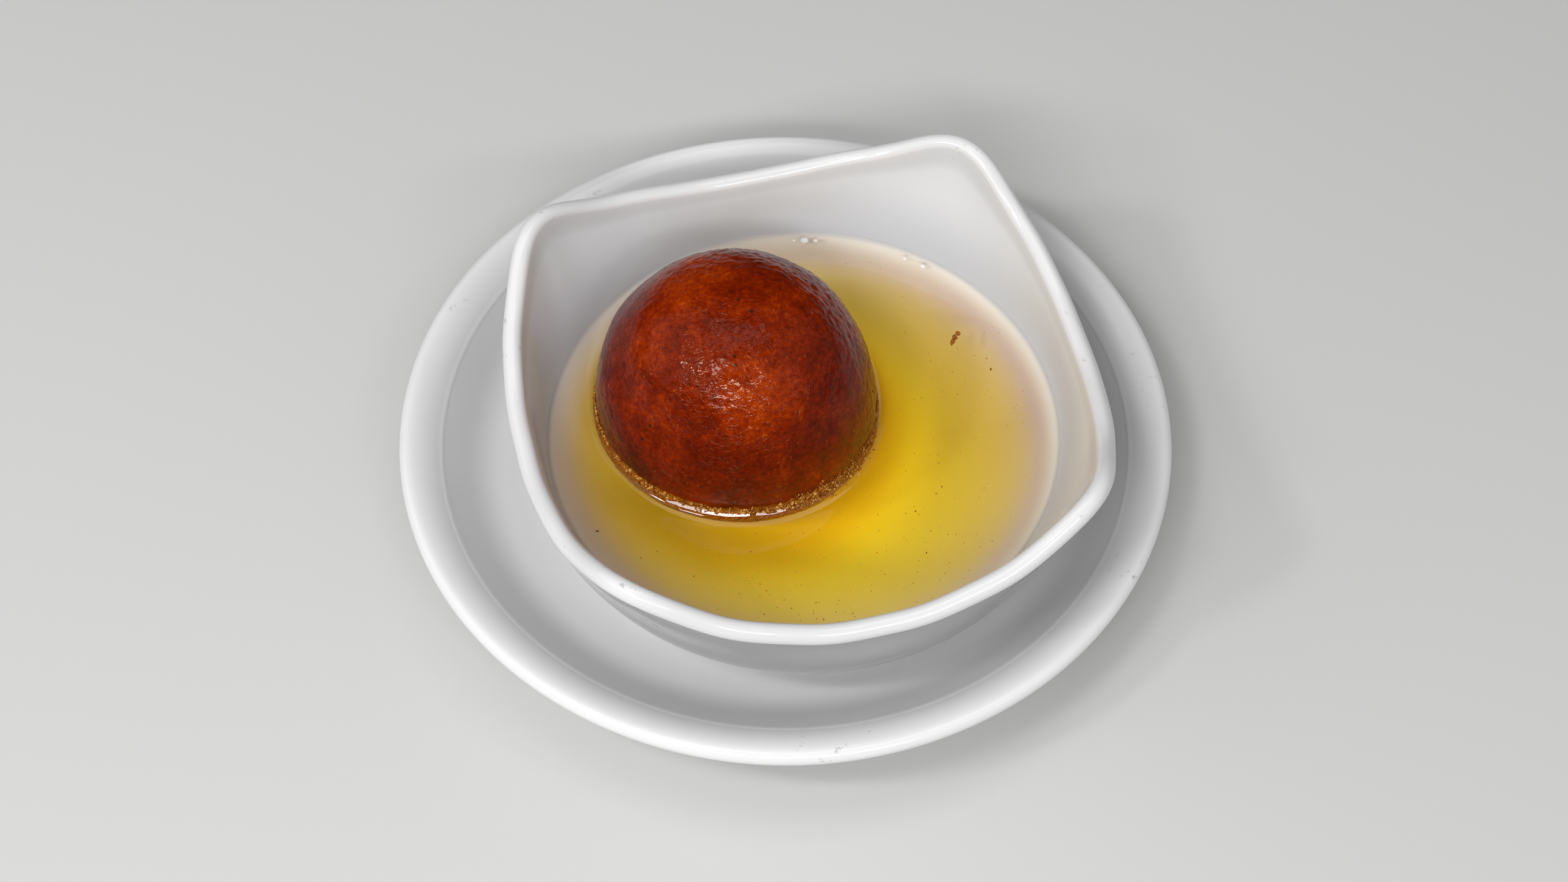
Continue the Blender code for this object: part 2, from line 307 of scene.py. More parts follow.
def glaze_material(name, colour, lip_colour, wear_seed, well_colour=None, painted_under_syrup=False):
    """White glaze: faint cloudiness, slow waviness, worn grey scuffs on the lip, painted shade on shaded walls.
    Under the syrup the glaze is painted gold and darker with depth, a painted stand-in for the light the syrup
    takes out, with painted shade near the ball and to its back and right."""
    mat, nt, bsdf = new_material(name)
    co = coords(nt)
    cloud = noise_tex(nt, co, 38.0, 3.0, 0.55)
    # colour is painted shade: shaded walls (the saucer's wall, the bowl's outside) get a darker glaze than the
    # well and the lips
    base = ramp(nt, cloud, [(0.30, tuple(c * 0.972 for c in colour)), (0.72, colour)])
    if well_colour:
        base = mix_colour(nt, attribute(nt, "well"), base, well_colour)
        # painted shade: a dark line along the saucer's fine step, where shade falls in its groove
        base = mix_colour(nt, math_node(nt, "MULTIPLY", attribute(nt, "painted_step_shade"), 0.8), base,
                          (0.36, 0.36, 0.36))
    # the lips keep a lighter glaze colour than the walls' painted shade
    lip = attribute(nt, "lip")
    base = mix_colour(nt, lip, base, lip_colour)
    # scuffs: short grey rubbed marks, only where the lip attribute is set
    rub = noise_tex(nt, stretch(nt, co, (1.0, 1.0, 2.2)), 420.0 + wear_seed, 5.0, 0.62)
    where = noise_tex(nt, co, 46.0 + wear_seed, 1.0, 0.5)
    rub = remap(nt, rub, 0.610, 0.680)
    where = remap(nt, where, 0.56, 0.66)
    scuff = math_node(nt, "MULTIPLY", math_node(nt, "MULTIPLY", rub, where), lip)
    scuff = math_node(nt, "MULTIPLY", scuff, 0.55)
    # pin holes and specks
    vor = node(nt, "ShaderNodeTexVoronoi", Scale=150.0)
    vor.feature = "F1"
    nt.links.new(co, vor.inputs["Vector"])
    pick = noise_tex(nt, co, 61.0, 0.0, 0.5)
    speck = math_node(nt, "MULTIPLY", remap(nt, vor.outputs["Distance"], 0.050, 0.030),
                      remap(nt, pick, 0.63, 0.67))
    speck = math_node(nt, "MULTIPLY", speck, 0.45)
    base = mix_colour(nt, scuff, base, (0.30, 0.29, 0.28))
    base = mix_colour(nt, speck, base, (0.34, 0.30, 0.26))
    rough = remap(nt, noise_tex(nt, co, 90.0, 3.0, 0.6), 0.3, 0.7, 0.085, 0.135)
    rough = math_node(nt, "ADD", rough, math_node(nt, "MULTIPLY", scuff, 0.5))
    if painted_under_syrup:
        # painted shade: the bowl's inside darker by the syrup, lighter towards the rim
        painted_inner_shade = mix_colour(nt, attribute(nt, "rise"), INSIDE_PAINTED_SHADE_LOW, INSIDE_PAINTED_SHADE_HIGH)
        base = mix_colour(nt, attribute(nt, "inside"), base, painted_inner_shade)
        # painted light: the syrup's gold and shade painted on the glaze by depth
        depth = attribute(nt, "depth")
        gold = mix_colour(nt, 1.0, ramp(nt, depth, PAINTED_SYRUP_TINT), (1.0, 1.0, 1.0), "MULTIPLY")
        base = mix_colour(nt, remap(nt, depth, 0.0, 0.08), base, gold)
        # painted shadow and painted reflection of the ball: deeper gold and darker beside it
        painted_ball_shade = mix_colour(nt, 1.0, base, (0.83, 0.62, 0.0), "MULTIPLY")
        base = mix_colour(nt, attribute(nt, "painted_ball_shade"), base, painted_ball_shade)
        # painted shade under the syrup, to the back and right of the ball
        painted_shade_away = mix_colour(nt, 1.0, base, (0.57, 0.495, 0.54), "MULTIPLY")
        base = mix_colour(nt, attribute(nt, "painted_shade_away"), base, painted_shade_away)
        rough = math_node(nt, "ADD", rough, remap(nt, depth, 0.0, 0.05, 0.0, 0.6))
    nt.links.new(base, bsdf.inputs["Base Color"])
    nt.links.new(rough, bsdf.inputs["Roughness"])
    wave = noise_tex(nt, co, 95.0, 1.0, 0.4)
    n = bump(nt, wave, 0.00022, 0.35)
    fine = noise_tex(nt, co, 900.0, 1.0, 0.5)
    n = bump(nt, fine, 0.000012, 0.6, n)
    nt.links.new(n, bsdf.inputs["Normal"])
    bsdf.inputs["IOR"].default_value = 1.5
    return mat


def crease_lines(nt, source, scale, detail, width):
    """Leathery plates: flat between, with narrow valleys where the noise is level."""
    n = noise_tex(nt, source, scale, detail, 0.55, 0.35)
    off = math_node(nt, "ABSOLUTE", math_node(nt, "SUBTRACT", n, 0.5))
    return remap(nt, off, 0.0, width)


def ball_material():
    """Fried, syrup-soaked skin: deep red-brown with orange where it is thin."""
    mat, nt, bsdf = new_material("gulab_jamun_skin")
    co = coords(nt)
    slow = noise_tex(nt, co, 62.0, 2.0, 0.5, 0.4)
    mid = noise_tex(nt, co, 260.0, 3.0, 0.6, 0.5)
    fine = noise_tex(nt, co, 1150.0, 3.0, 0.65)
    tone = math_node(nt, "ADD", math_node(nt, "MULTIPLY", slow, 0.30),
                     math_node(nt, "ADD", math_node(nt, "MULTIPLY", mid, 0.28), 0.04))
    tone = math_node(nt, "ADD", tone, math_node(nt, "MULTIPLY", fine, 0.34))
    tone = math_node(nt, "ADD", tone, math_node(nt, "MULTIPLY", attribute(nt, "thin"), 0.10))
    tone = math_node(nt, "SUBTRACT", tone, math_node(nt, "MULTIPLY", attribute(nt, "dark"), 0.07))
    base = ramp(nt, tone, [(0.34, (0.060, 0.0034, 0.0001)), (0.44, (0.114, 0.0066, 0.0001)),
                           (0.53, (0.188, 0.0125, 0.0002)), (0.62, (0.295, 0.0270, 0.0003)),
                           (0.75, (0.520, 0.0850, 0.0012))])
    # golden grainy hem where the crust meets the syrup
    hem = math_node(nt, "MULTIPLY", attribute(nt, "hem"),
                    remap(nt, noise_tex(nt, co, 1900.0, 2.0, 0.6), 0.40, 0.58, 0.15, 1.0))
    base = mix_colour(nt, hem, base, (0.36, 0.125, 0.008))
    # black specks and tiny golden grains in the crust
    vor = node(nt, "ShaderNodeTexVoronoi", Scale=330.0)
    nt.links.new(co, vor.inputs["Vector"])
    pick = noise_tex(nt, co, 131.0, 0.0, 0.5)
    speck = math_node(nt, "MULTIPLY", remap(nt, vor.outputs["Distance"], 0.16, 0.09),
                      remap(nt, pick, 0.66, 0.70))
    base = mix_colour(nt, math_node(nt, "MULTIPLY", speck, 0.85), base, (0.018, 0.008, 0.004))
    grain = node(nt, "ShaderNodeTexVoronoi", Scale=900.0)
    nt.links.new(co, grain.inputs["Vector"])
    gold = math_node(nt, "MULTIPLY", remap(nt, grain.outputs["Distance"], 0.26, 0.12),
                     remap(nt, noise_tex(nt, co, 210.0, 1.0, 0.5), 0.52, 0.66))
    base = mix_colour(nt, math_node(nt, "MULTIPLY", gold, 0.14), base, (0.70, 0.24, 0.030))
    nt.links.new(base, bsdf.inputs["Base Color"])
    # skin relief: crinkled plates where the "crinkle" attribute is high, fine grain all over
    crinkle = attribute(nt, "crinkle")
    wide = stretch(nt, co, (1.0, 1.0, 1.6))
    plates = crease_lines(nt, wide, 380.0, 1.0, 0.038)
    small = crease_lines(nt, wide, 760.0, 1.0, 0.045)
    lumps = noise_tex(nt, wide, 700.0, 2.0, 0.5, 0.5)
    relief = math_node(nt, "ADD", math_node(nt, "MULTIPLY", plates, 0.40),
                       math_node(nt, "MULTIPLY", small, 0.24))
    relief = math_node(nt, "ADD", relief, math_node(nt, "MULTIPLY", lumps, 0.38))
    relief = math_node(nt, "MULTIPLY", relief, crinkle)
    n = bump(nt, relief, 0.00014, 1.0)
    # sparse wet beads that catch the lamps away from the main highlight
    beads = node(nt, "ShaderNodeTexVoronoi", Scale=760.0)
    nt.links.new(co, beads.inputs["Vector"])
    some = remap(nt, noise_tex(nt, co, 300.0, 1.0, 0.5), 0.56, 0.66)
    bead = math_node(nt, "MULTIPLY", remap(nt, beads.outputs["Distance"], 0.38, 0.05), some)
    n = bump(nt, math_node(nt, "MULTIPLY", bead, crinkle), 0.00022, 1.0, n)
    grainy = noise_tex(nt, co, 1500.0, 1.0, 0.5)
    n = bump(nt, grainy, 0.00002, 0.8, n)
    nt.links.new(n, bsdf.inputs["Normal"])
    rough = remap(nt, noise_tex(nt, co, 420.0, 2.0, 0.5), 0.35, 0.65, 0.05, 0.10)
    rough = math_node(nt, "ADD", rough, math_node(nt, "MULTIPLY",
                      math_node(nt, "SUBTRACT", 1.0, crinkle), 0.12))
    nt.links.new(rough, bsdf.inputs["Roughness"])
    bsdf.inputs["IOR"].default_value = 1.29
    bsdf.inputs["Specular Tint"].default_value = (1.0, 0.74, 0.60, 1.0)
    bsdf.inputs["Subsurface Weight"].default_value = 0.08
    bsdf.inputs["Subsurface Radius"].default_value = (1.0, 0.22, 0.04)
    bsdf.inputs["Subsurface Scale"].default_value = 0.0018
    return mat


def syrup_material():
    """Clear golden syrup: it bends and mirrors, and takes out blue with depth."""
    mat, nt, bsdf = new_material("golden_syrup")
    bsdf.inputs["Base Color"].default_value = (1.0, 1.0, 1.0, 1.0)
    bsdf.inputs["Transmission Weight"].default_value = 1.0
    bsdf.inputs["Roughness"].default_value = 0.02
    bsdf.inputs["IOR"].default_value = 1.42
    co = coords(nt)
    ripple = noise_tex(nt, co, 70.0, 1.0, 0.4)
    nt.links.new(bump(nt, ripple, 0.0001, 0.25), bsdf.inputs["Normal"])
    path = nt.nodes.new("ShaderNodeLightPath")
    through = nt.nodes.new("ShaderNodeBsdfTransparent")
    through.inputs["Color"].default_value = (0.97, 0.97, 0.97, 1.0)
    mix = nt.nodes.new("ShaderNodeMixShader")
    either = math_node(nt, "MAXIMUM", path.outputs["Is Shadow Ray"], path.outputs["Is Diffuse Ray"])
    nt.links.new(either, mix.inputs[0])
    nt.links.new(bsdf.outputs[0], mix.inputs[1])
    nt.links.new(through.outputs[0], mix.inputs[2])
    out = nt.nodes["Material Output"]
    nt.links.new(mix.outputs[0], out.inputs["Surface"])
    soak = nt.nodes.new("ShaderNodeVolumeAbsorption")
    soak.inputs["Color"].default_value = (1.0, 0.86, 0.0, 1.0)
    soak.inputs["Density"].default_value = 32.0
    nt.links.new(soak.outputs[0], out.inputs["Volume"])
    return mat


def bubble_material():
    """Thin-walled air bubble: shiny, partly clear, lets lamps through; its whitish base colour is a painted
    highlight.
    """
    mat, nt, bsdf = new_material("bubble_skin")
    # painted highlight: whitish base colour
    bsdf.inputs["Base Color"].default_value = (0.95, 0.95, 0.94, 1.0)
    bsdf.inputs["Transmission Weight"].default_value = 0.35
    bsdf.inputs["Roughness"].default_value = 0.06
    bsdf.inputs["IOR"].default_value = 1.20
    co = coords(nt)
    nt.links.new(bump(nt, noise_tex(nt, co, 600.0, 1.0), 0.00002, 0.5), bsdf.inputs["Normal"])
    return mat


def crumb_material(name, dark, light):
    mat, nt, bsdf = new_material(name)
    co = coords(nt)
    base = ramp(nt, noise_tex(nt, co, 900.0, 2.0, 0.6), [(0.35, dark), (0.65, light)])
    nt.links.new(base, bsdf.inputs["Base Color"])
    bsdf.inputs["Roughness"].default_value = 0.34
    nt.links.new(bump(nt, noise_tex(nt, co, 3000.0, 2.0, 0.6), 0.00004, 0.7), bsdf.inputs["Normal"])
    bsdf.inputs["IOR"].default_value = 1.35
    bsdf.inputs["Specular Tint"].default_value = (1.0, 0.7, 0.45, 1.0)
    return mat


def floor_material():
    mat, nt, bsdf = new_material("pale_floor")
    co = coords(nt)
    base = ramp(nt, noise_tex(nt, co, 2.0, 2.0, 0.5), [(0.3, (0.60, 0.60, 0.595)), (0.7, (0.62, 0.62, 0.615))])
    nt.links.new(base, bsdf.inputs["Base Color"])
    bsdf.inputs["Roughness"].default_value = 0.65
    return mat


# ------------------------------------------------------------------ saucer
def saucer_wall(r):
    s = (r - WELL_R) / (STEP_R - WELL_R)
    return hermite(WELL_Z, 0.0, STEP_Z, WALL_SLOPE * (STEP_R - WELL_R), s)


def saucer_profile():
    """(r, z, lip) from the well's middle over the lip to the underside."""
    pts = []
    for r in np.linspace(4.0, WELL_R, 10):
        pts.append((r, WELL_Z, 0.0))
    for r in np.linspace(WELL_R, STEP_R - 0.25, 34)[1:]:
        pts.append((r, saucer_wall(r), 0.0))
    # the fine step: a shallow groove, then a raised edge
    for dr, dz in ((0.0, -0.02), (0.18, 0.02), (0.34, 0.14), (0.52, 0.27), (0.75, 0.36)):
        pts.append((STEP_R + dr, STEP_Z + dz + STEP_H * 0.15, 0.2))
    # lip: a gentle convex rise to the crest
    p0 = np.array((STEP_R + 0.75, STEP_Z + 0.40))
    p1 = np.array((LIP_CREST_R, SAUCER_H))
    m0, m1 = np.array((5.6, 3.9)), np.array((5.6, 0.6))
    for s in np.linspace(0.0, 1.0, 14)[1:-1]:
        p = hermite(p0, m0, p1, m1, s)
        pts.append((p[0], p[1], 0.2 + 0.8 * s))
    turn = SAUCER_R - LIP_CREST_R
    for deg in np.linspace(84, -58, 13):
        a = math.radians(deg)
        pts.append((LIP_CREST_R + turn * math.cos(a), SAUCER_H - turn + turn * math.sin(a),
                    1.0 if deg > -20 else 0.3))
    under = [(LIP_CREST_R + turn * math.cos(math.radians(-58)),
              SAUCER_H - turn + turn * math.sin(math.radians(-58))),
             (LIP_CREST_R - 1.4, SAUCER_H - 4.4), (62.0, 10.2), (50.0, 4.1),
             (FOOT_OUT_R + 2.0, 2.5), (FOOT_OUT_R, 0.7), (FOOT_OUT_R - 0.6, 0.0),
             (FOOT_IN_R + 0.6, 0.0), (FOOT_IN_R, 0.6), (FOOT_IN_R - 0.9, SAUCER_BASE),
             (4.0, SAUCER_BASE)]
    soft = round_corners(under, [0, 1.2, 6.0, 6.0, 1.2, 0.5, 0.3, 0.3, 0.4, 0.8, 0], 6)
    for p in soft[1:]:
        pts.append((p[0], p[1], 0.0))
    return pts


def build_saucer(mat):
    n = 288
    t = np.arange(n) * 2 * math.pi / n
    prof = saucer_profile()
    rings, lip, well, painted_step_shade = [], [0.0], [1.0], [0.0]
    for r, z, w in prof:
        # the well keeps a lighter glaze; outside it the wall's colour is painted shade
        well += [float(smoothstep(63.0, 55.0, r)) if z > 4.9 else 0.0] * n
        # painted shade along the fine step's groove
        painted_step_shade += [1.0 if STEP_R - 0.1 < r < STEP_R + 0.25 and z > 10.0 else 0.0] * n
        wob = 1.0 + 0.0006 * np.sin(2 * t + 0.7) + 0.0004 * np.sin(3 * t + 2.0)
        up = 0.0 if z < 3.0 else (z - 3.0) / 17.0
        dz = up * (0.10 * np.sin(2 * t + 1.1) + 0.06 * np.sin(5 * t)) - 0.10 * up
        rings.append(np.stack([r * wob * np.cos(t) * 0.9990, r * wob * np.sin(t) * 0.9990, z + dz], 1))
        lip += [w] * n
    lip.append(0.0)
    well.append(0.0)
    painted_step_shade.append(0.0)
    return loft("saucer_glazed", (0, 0, WELL_Z), rings, (0, 0, SAUCER_BASE), mat,
                {"lip": lip, "well": well, "painted_step_shade": painted_step_shade})


# -------------------------------------------------------------------- bowl
def rim_curve(t):
    r = RIM_MEAN + sum(a * np.cos(4 * (k + 1) * t) for k, a in enumerate(RIM_WAVES))
    z = RIM_Z_MEAN + sum(a * np.cos(4 * (k + 1) * t) for k, a in enumerate(RIM_Z_WAVES))
    return np.stack([r * np.cos(t), r * np.sin(t), z], 1)


def rim_frame(t):
    """Lip centre line, its outward normal in plan and its upward normal."""
    e = 1e-3
    p = rim_curve(t)
    tan = rim_curve(t + e) - rim_curve(t - e)
    tan /= np.linalg.norm(tan, axis=1)[:, None]
    out = np.stack([tan[:, 1], -tan[:, 0], np.zeros(len(t))], 1)
    out /= np.linalg.norm(out, axis=1)[:, None]
    up = np.cross(out, tan)
    return p, out, up


def body_curve(z, flat, reach, top, bottom):
    v = min(max((top - z) / (top - bottom), 0.0), 1.0)
    u = (1.0 - v ** FULLNESS) ** (1.0 / FULLNESS) if v < 1.0 else 0.0
    r = flat + (reach - flat) * u
    slope = 0.0
    if 0.0 < v < 1.0 and u > 0.0:
        slope = (reach - flat) / (top - bottom) * (v / u) ** (FULLNESS - 1.0)
    return r, slope


def inner_round(z):
    return body_curve(z, INNER_FLAT_R, SIDE_RIM_R - LIP_R, SIDE_RIM_Z, BOWL_FLOOR_Z)


def outer_round(z):
    return body_curve(z, FOOT_RING_OUT, SIDE_RIM_R + 1.0, SIDE_RIM_Z - 1.6, BODY_Z)


def circle(r, z, t):
    return np.stack([r * np.cos(t), r * np.sin(t), np.full(len(t), float(z))], 1)


def lean(t, slope, length):
    """Tangent of that length for a wall of slope dr/dz at the angles t."""
    d = np.stack([slope * np.cos(t), slope * np.sin(t), np.ones(len(t))], 1)
    return d / math.hypot(slope, 1.0) * length[:, None]


# painted shade: how much darker the bottom is painted through the syrup, by world angle about the ball
PAINTED_SHADE_BY_ANGLE = ((0, 0.95), (30, 0.92), (60, 0.66), (90, 0.45), (135, 0.25), (180, 0.20), (225, 0.20),
        (255, 0.0), (305, 0.0), (330, 0.52), (360, 0.95))


def build_bowl(mat):
    n = 384
    t = np.arange(n) * 2 * math.pi / n
    rings, lip = [], []

    def add(ring, w=0.0):
        rings.append(ring)
        lip.extend([w] * n)

    for r in (3.0, 8.0, 12.5, INNER_FLAT_R):
        add(circle(r, BOWL_FLOOR_Z, t))
    height = SIDE_RIM_Z - BOWL_FLOOR_Z
    last = math.acos((SIDE_RIM_Z - BLEND_Z) / height)
    for k in range(1, 31):
        z = SIDE_RIM_Z - height * math.cos(last * k / 30)
        add(circle(inner_round(z)[0], z, t))
    # inside wall up to the lip
    p, out, up = rim_frame(t)
    a0 = math.pi - math.atan(0.30)
    end = p + LIP_R * (math.cos(a0) * out + math.sin(a0) * up)
    r0, m0 = inner_round(BLEND_Z)
    start = circle(r0, BLEND_Z, t)
    length = np.linalg.norm(end - start, axis=1)
    t0 = lean(t, m0, length)
    t1 = (math.sin(a0) * out - math.cos(a0) * up) * length[:, None]
    for k in range(1, 25):
        s = k / 24
        add(hermite(start, t0, end, t1, s), max(0.0, (s - 0.80) / 0.20) * 0.8)
    # rolled lip
    for deg in np.linspace(math.degrees(a0), -58.0, 27)[1:]:
        a = math.radians(deg)
        add(p + LIP_R * (math.cos(a) * out + math.sin(a) * up), 1.0)
    # small hollow under the lip, then the outside wall
    a1 = math.radians(-58.0)
    e0 = p + LIP_R * (math.cos(a1) * out + math.sin(a1) * up)
    d0 = (math.sin(a1) * out - math.cos(a1) * up)
    side = np.array((0.215, 0.977))
    e1 = p + (0.66 * out - 2.18 * up)
    d1 = -(side[0] * out + side[1] * up)
    for k in range(1, 6):
        s = k / 6
        add(hermite(e0, d0 * 0.85, e1, d1 * 0.85, s), 0.25)
    r0, m0 = outer_round(BLEND_Z)
    foot = circle(r0, BLEND_Z, t)
    length = np.linalg.norm(e1 - foot, axis=1)
    t1 = -lean(t, m0, length)
    for k in range(0, 25):
        s = k / 24
        add(hermite(e1, d1 * length[:, None], foot, t1, s))
    top = SIDE_RIM_Z - 1.6
    v0 = math.asin((top - BLEND_Z) / (top - BODY_Z))
    for k in range(1, 26):
        v = math.sin(v0 + (math.radians(87.0) - v0) * k / 26)
        z = top - (top - BODY_Z) * v
        add(circle(outer_round(z)[0], z, t))
    low = [(outer_round(BODY_Z + 0.02)[0] + 1.0, BODY_Z - 0.02), (FOOT_RING_OUT + 0.3, BODY_Z - 0.3),
           (FOOT_RING_OUT - 0.2, BOWL_FOOT_Z + 0.6), (FOOT_RING_OUT - 0.9, BOWL_FOOT_Z),
           (FOOT_RING_IN + 0.7, BOWL_FOOT_Z), (FOOT_RING_IN - 0.4, BOWL_BASE_Z), (3.0, BOWL_BASE_Z)]
    for q in round_corners(low, [0, 0.5, 0.4, 0.3, 0.3, 0.8, 0], 4)[1:]:
        add(circle(q[0], q[1], t))
    pts = np.vstack([[(0.0, 0.0, BOWL_FLOOR_Z)]] + rings + [[(0.0, 0.0, BOWL_BASE_Z)]])
    inside = np.arange(len(pts)) < 1 + n * (4 + 30 + 24)
    depth = np.where(inside, np.clip((LEVEL_Z - pts[:, 2]) / (LEVEL_Z - BOWL_FLOOR_Z), 0.0, 1.0), 0.0)
    c, s = math.cos(BOWL_TURN), math.sin(BOWL_TURN)
    x, y = pts[:, 0] * c - pts[:, 1] * s + BOWL_AT[0], pts[:, 0] * s + pts[:, 1] * c + BOWL_AT[1]
    gap = np.hypot(x - BALL_AT[0], y - BALL_AT[1]) - BALL_A
    # painted shadow and painted reflection of the ball on the bottom: deeper gold beside it, more on its +x side
    side = 0.80 + 0.20 * (x - BALL_AT[0]) / np.maximum(np.hypot(x - BALL_AT[0], y - BALL_AT[1]), 1.0)
    painted_ball_shade = side * np.exp(-(np.maximum(gap, 0.0) / 8.0) ** 2) * smoothstep(0.0, 0.5, depth)
    # painted shade: the bottom under the syrup is painted darker away to the back and right of the ball
    at, share = zip(*PAINTED_SHADE_BY_ANGLE)
    painted_shade_away = np.interp(np.degrees(np.arctan2(y - BALL_AT[1], x - BALL_AT[0])) % 360.0, at, share)
    painted_shade_away = painted_shade_away * smoothstep(3.0, 15.0, gap) * smoothstep(0.0, 0.35, depth)
    ob = loft("bowl_glazed", (0, 0, BOWL_FLOOR_Z), rings, (0, 0, BOWL_BASE_Z), mat,
              {"lip": [0.0] + lip + [0.0], "depth": depth, "painted_ball_shade": painted_ball_shade, "painted_shade_away": painted_shade_away,
               "inside": np.where(inside, 1.0, 0.0) * (1.0 - np.array([0.0] + lip + [0.0])),
               "rise": smoothstep(LEVEL_Z, LEVEL_Z + 15.0, pts[:, 2])})
    return place(ob, BOWL_AT, BOWL_TURN)


# -------------------------------------------------------------------- ball
def cube_sphere(n):
    """Even unit directions over a sphere, with quads: six faces of n x n."""
    verts, faces, index = [], [], {}
    g = np.tan(np.linspace(-1, 1, n + 1) * math.pi / 4)
    axes = [((1, 0, 0), (0, 1, 0), (0, 0, 1)), ((-1, 0, 0), (0, 0, 1), (0, 1, 0)),
            ((0, 1, 0), (0, 0, 1), (1, 0, 0)), ((0, -1, 0), (1, 0, 0), (0, 0, 1)),
            ((0, 0, 1), (1, 0, 0), (0, 1, 0)), ((0, 0, -1), (0, 1, 0), (1, 0, 0))]
    for w, u, v in axes:
        w, u, v = np.array(w, float), np.array(u, float), np.array(v, float)
        ids = np.empty((n + 1, n + 1), int)
        for i in range(n + 1):
            for j in range(n + 1):
                p = w + g[i] * u + g[j] * v
                p /= np.linalg.norm(p)
                if i in (0, n) or j in (0, n):
                    key = tuple(np.round(p, 6) + 0.0)
                    if key not in index:
                        index[key] = len(verts)
                        verts.append(p)
                    ids[i, j] = index[key]
                else:
                    ids[i, j] = len(verts)
                    verts.append(p)
        for i in range(n):
            for j in range(n):
                faces.append((ids[i, j], ids[i + 1, j], ids[i + 1, j + 1], ids[i, j + 1]))
    return np.array(verts), faces


def swell(d):
    """Slow unevenness of the dome, as a share of its radius (as in the CAD)."""
    x, y, z = d[:, 0], d[:, 1], d[:, 2]
    up = np.clip(z * 2.2 - 0.25, 0.0, 1.0)
    b = (0.55 * np.sin(3.1 * x + 1.7 * y + 0.6) + 0.45 * np.cos(4.3 * y - 2.1 * z + 1.1)
         + 0.30 * np.sin(5.2 * x - 3.0 * y + 2.4 * z))
    return 1.0 + 0.010 * up * b


def ball_surface(d):
    """Points (mm, in the ball's own frame) of the smooth ball for directions d."""
    rho = np.sqrt((d[:, 0] / BALL_A) ** 2 + (d[:, 1] / BALL_B) ** 2)
    high = (rho ** BALL_FULL + (np.abs(d[:, 2]) / BALL_UP) ** BALL_FULL) ** (-1.0 / BALL_FULL)
    low = (rho ** 2 + (d[:, 2] / BALL_DOWN) ** 2) ** -0.5
    r = np.where(d[:, 2] > 0, high, low)
    return d * (r * swell(d))[:, None]


def skin_relief(p, d, crinkle):
    """Height (mm) of the skin's lumps and creases at points p of directions d."""
    h = 0.34 * gradient_noise(p / 9.0 + 3.1) + 0.15 * gradient_noise(p / 4.1 + 11.0)
    rough = smoothstep(-0.15, 0.25, gradient_noise(p / 11.0 + 20.0))
    ridge = 1.0 - np.abs(gradient_noise(p / np.array((2.6, 2.6, 1.6)) + 5.0)) * 3.0
    ridge2 = 1.0 - np.abs(gradient_noise(p / np.array((1.6, 1.6, 1.0)) + 9.0)) * 3.0
    h += (0.024 + 0.028 * rough + 0.028 * crinkle) * ridge
    h += (0.010 + 0.014 * rough + 0.019 * crinkle) * ridge2
    # a crumbly shoulder: the skin is bumpiest low down and at the back
    crumbly = np.maximum(smoothstep(0.30, 0.05, d[:, 2]), smoothstep(-0.1, 0.5, d[:, 1]))
    h += (0.05 + 0.17 * crumbly) * gradient_noise(p / 1.05 + 31.0)
    return h


# slow patches of the skin: direction on the ball, angular size (radians), strength
ORANGE = (((-0.22, 0.30, 0.93), 0.34, 0.8), ((0.12, -0.62, 0.78), 0.30, 1.0),
          ((0.55, 0.70, 0.45), 0.4, 0.7),
          ((-0.50, 0.82, 0.25), 0.35, 0.6))
BROWN = (((-0.70, -0.70, 0.16), 0.24, 1.9), ((-0.90, -0.30, 0.30), 0.55, 0.9), ((-0.30, -0.88, 0.42), 0.40, 0.55),
         ((0.72, -0.30, 0.62), 0.45, 0.65), ((0.10, 0.50, 0.80), 0.30, 0.5),
         ((0.30, 0.90, 0.30), 0.40, 0.6))
CRINKLED = (((-0.02, -0.60, 0.80), 0.72, 1.0), ((0.62, 0.55, 0.55), 0.5, 0.6),
            ((-0.75, 0.55, 0.35), 0.4, 0.6))


def patches(d, table, ragged):
    """Soft-edged patches round the listed directions, their edges pulled about."""
    out = np.zeros(len(d))
    for way, size, strength in table:
        w = np.array(way) / np.linalg.norm(way)
        ang = np.arccos(np.clip(d @ w, -1.0, 1.0)) / size + ragged
        out = np.maximum(out, strength * smoothstep(1.25, 0.45, ang))
    return out


